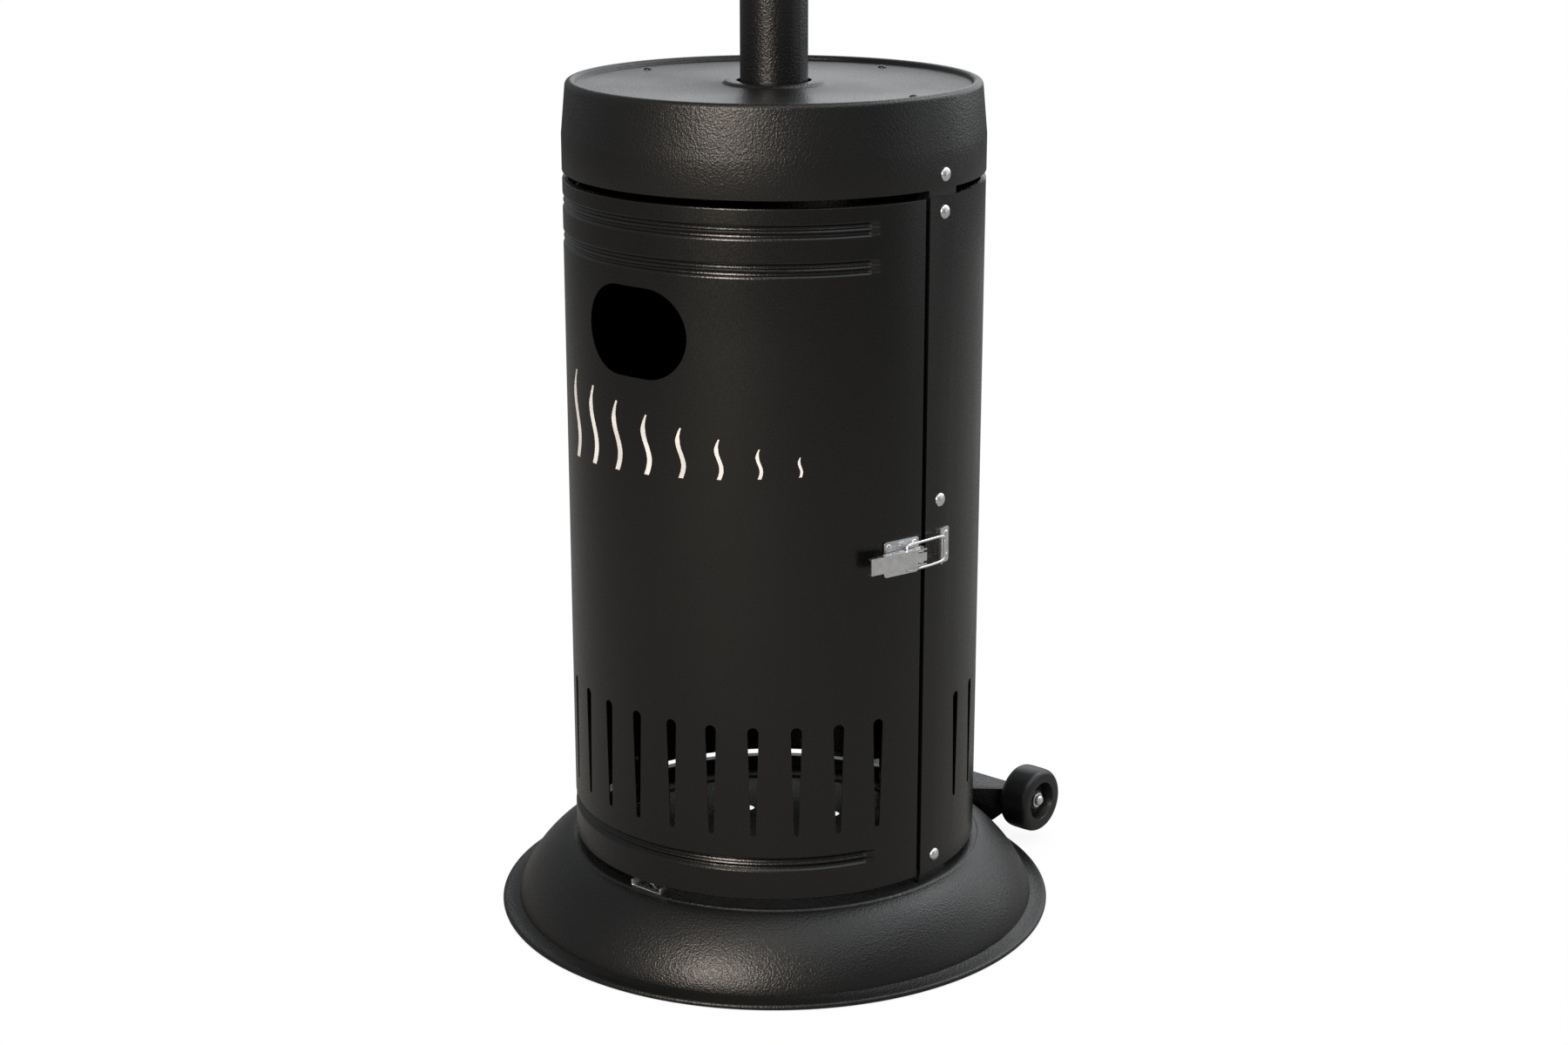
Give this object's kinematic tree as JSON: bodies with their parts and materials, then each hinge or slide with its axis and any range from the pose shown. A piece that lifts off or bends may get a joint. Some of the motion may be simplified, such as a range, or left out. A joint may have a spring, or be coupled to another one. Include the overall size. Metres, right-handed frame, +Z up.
{
  "type": "gas patio heater",
  "caption": "Free-standing gas patio heater: domed base with wheels, round bottle cylinder with latched hinged door, pole, burner head and round reflector.",
  "frame": {"origin": "on the pole's axis at floor level, the middle of the base", "axes": "+Z up along the pole; -Y to the front, where the door is; +X to the latch side; +Y to the wheels"},
  "size_m": [0.813, 0.813, 2.2361],
  "materials": {
    "black_coat": "hammered black powder coat, satin",
    "zinc_plate": "bright zinc plate",
    "plain_steel": "plain turned steel",
    "stainless": "brushed stainless steel",
    "emitter_mesh": "perforated stainless steel, lightly heat tinted",
    "brass": "machined brass",
    "copper": "drawn copper tube",
    "ceramic": "glazed white ceramic",
    "reflector_aluminium": "spun aluminium, satin",
    "wheel_plastic": "solid black rubbery plastic",
    "black_plastic": "moulded black plastic",
    "knob_plastic": "moulded black heat-resistant plastic",
    "red_plastic": "moulded red plastic"
  },
  "bodies": {
    "stand": {"base_skirt": "black_coat", "bottle_tray": "black_coat", "post_latch_side": "black_coat", "post_hinge_side": "black_coat", "post_rear": "black_coat", "post_bolts": "zinc_plate", "rear_shell": "black_coat", "shell_screws": "zinc_plate", "top_cap": "black_coat", "cap_screws": "zinc_plate", "pole_socket": "black_coat", "socket_nuts": "zinc_plate", "pole": "black_coat", "door_rest": "zinc_plate", "strike_plate": "zinc_plate", "strike_rivets": "zinc_plate", "hinge_post_leaves": "black_coat", "hinge_pins": "plain_steel", "hinge_post_rivets": "plain_steel", "wheel_bracket": "black_coat", "bracket_bolts": "zinc_plate", "axle": "plain_steel", "axle_washers": "zinc_plate", "axle_caps": "zinc_plate", "head_flange": "black_coat", "head_flange_bolts": "zinc_plate", "control_housing": "black_coat", "housing_lid": "stainless", "gas_valve": "brass", "gas_inlet": "brass", "gas_jet": "brass", "mixer_tube": "stainless", "burner_cup": "stainless", "pilot_tube": "copper", "thermocouple": "copper", "spark_electrode": "ceramic", "emitter_screen": "emitter_mesh", "emitter_lid": "stainless", "emitter_screws": "zinc_plate", "reflector_studs": "zinc_plate", "reflector": "reflector_aluminium", "stud_washers": "zinc_plate", "wing_nuts": "zinc_plate", "piezo_igniter": "black_plastic", "tilt_switch": "black_plastic", "control_panel": "stainless"},
    "door": {"door_panel": "black_coat", "hinge_door_leaves": "black_coat", "hinge_door_rivets": "plain_steel", "latch_base": "zinc_plate", "latch_pin": "plain_steel", "latch_rivets": "zinc_plate"},
    "lever": {"latch_lever": "zinc_plate"},
    "bail": {"latch_bail": "zinc_plate"},
    "left_wheel": {"wheel_left": "wheel_plastic"},
    "right_wheel": {"wheel_right": "wheel_plastic"},
    "valve_spindle": {"valve_rotor": "brass"},
    "knob": {"control_knob": "knob_plastic", "knob_stem": "brass"},
    "button": {"igniter_button": "red_plastic"}
  },
  "joints": [
    {"name": "door_hinge", "type": "hinge", "parent": "stand", "child": "door", "pos_m": [-0.20332, -0.02101, 0.405], "axis": [0, 0, -1], "range_deg": [0, 110]},
    {"name": "latch_lever_pivot", "type": "hinge", "parent": "door", "child": "lever", "pos_m": [0.2063, -0.03443, 0.4045], "axis": [0, 0, 1], "range_deg": [0, 150]},
    {"name": "latch_bail_pivot", "type": "hinge", "parent": "lever", "child": "bail", "pos_m": [0.20218, -0.04886, 0.4045], "axis": [0, 0, 1], "range_deg": [-150, 0]},
    {"name": "left_wheel_spin", "type": "hinge", "parent": "stand", "child": "left_wheel", "pos_m": [-0.1205, 0.277, 0.0455], "axis": [1, 0, 0], "continuous": true},
    {"name": "right_wheel_spin", "type": "hinge", "parent": "stand", "child": "right_wheel", "pos_m": [0.1205, 0.277, 0.0455], "axis": [1, 0, 0], "continuous": true},
    {"name": "knob_turn", "type": "hinge", "parent": "stand", "child": "valve_spindle", "pos_m": [0, -0.07, 1.738], "axis": [0, -1, 0], "range_deg": [0, 210]},
    {"name": "knob_push", "type": "slide", "parent": "valve_spindle", "child": "knob", "axis": [0, 1, 0], "range_m": [0, 0.003], "stiffness_N_per_m": 1500},
    {"name": "igniter_push", "type": "slide", "parent": "stand", "child": "button", "axis": [-0.4384, 0.8988, 0], "range_m": [0, 0.004], "stiffness_N_per_m": 1500}
  ],
  "couplings": [
    {"joint": "latch_bail_pivot", "follows": "latch_lever_pivot", "ratio": -1}
  ]
}
